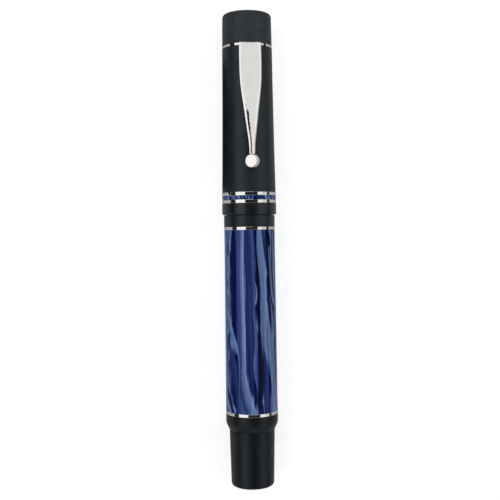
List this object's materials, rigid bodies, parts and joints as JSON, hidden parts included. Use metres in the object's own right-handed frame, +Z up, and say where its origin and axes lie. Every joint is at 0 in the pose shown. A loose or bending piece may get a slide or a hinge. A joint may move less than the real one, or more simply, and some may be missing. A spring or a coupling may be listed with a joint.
{
  "type": "fountain pen",
  "caption": "Screw-capped fountain pen with a captive piston filler, a ball-ended spring clip, metal trim rings and a marbled resin barrel.",
  "frame": {"origin": "on the resting plane, under the middle of the pen's length and width", "axes": "+Y along the pen from the filling knob to the crown, +Z up through the clip, +X across the pen"},
  "size_m": [0.0154, 0.135, 0.0195],
  "materials": {
    "black_rubber_resin": "satin black hard rubber with a fine hazy sheen",
    "blue_marbled_resin": "polished resin, marbled navy, mid blue and pale steel blue along the barrel",
    "silver_trim": "polished sterling silver colour, rounded edges",
    "silver_clip": "polished sterling silver colour with faint brushing",
    "nib_steel": "polished steel, fine engraved border",
    "nib_tipping": "ground hard tipping metal",
    "feed_ebonite": "matte black ebonite",
    "inner_cap_resin": "plain black moulding",
    "white_acetal": "plain white moulding",
    "rod_resin": "smooth dark moulding",
    "nut_brass": "turned brass",
    "seal_rubber": "greased black rubber"
  },
  "bodies": {
    "barrel": {"barrel_collar": "black_rubber_resin", "barrel_ring_upper": "silver_trim", "barrel_tube": "blue_marbled_resin", "barrel_ring_lower": "silver_trim", "barrel_end": "black_rubber_resin", "section": "black_rubber_resin", "section_seal": "seal_rubber", "nib_housing": "black_rubber_resin", "nib": "nib_steel", "nib_point": "nib_tipping", "feed": "feed_ebonite", "piston_guide": "white_acetal", "knob_seal": "seal_rubber"},
    "cap_carrier": {"inner_cap": "inner_cap_resin"},
    "cap": {"cap_crown": "black_rubber_resin", "clip_ring": "silver_trim", "cap_tube": "black_rubber_resin", "cap_band_upper": "silver_trim", "cap_band_inlay": "blue_marbled_resin", "cap_band_lower": "silver_trim", "cap_lip": "black_rubber_resin"},
    "clip": {"clip_blade": "silver_clip", "clip_ball": "silver_clip"},
    "knob": {"filler_knob": "black_rubber_resin", "drive_nut": "nut_brass", "knob_washer": "white_acetal"},
    "piston": {"piston_rod": "rod_resin", "piston_head": "white_acetal", "piston_seal_rear": "seal_rubber", "piston_seal_front": "seal_rubber"}
  },
  "joints": [
    {"name": "cap_pull_off", "type": "slide", "parent": "barrel", "child": "cap_carrier", "axis": [0, 1, 0], "range_m": [0, 0.06]},
    {"name": "cap_unscrew", "type": "hinge", "parent": "cap_carrier", "child": "cap", "pos_m": [0, 0, 0.00772], "axis": [0, 1, 0], "range_deg": [0, 450]},
    {"name": "clip_flex", "type": "hinge", "parent": "cap", "child": "clip", "pos_m": [0, 0.0575, 0.01514], "axis": [-1, 0, 0], "range_deg": [0, 4], "stiffness_Nm_per_rad": 1.5},
    {"name": "knob_turn", "type": "hinge", "parent": "barrel", "child": "knob", "pos_m": [0, 0, 0.00772], "axis": [0, -1, 0], "range_deg": [0, 1440]},
    {"name": "piston_slide", "type": "slide", "parent": "barrel", "child": "piston", "axis": [0, 1, 0], "range_m": [0, 0.022]}
  ],
  "couplings": [
    {"joint": "piston_slide", "follows": "knob_turn", "m_per_rad": 0.00087535}
  ]
}
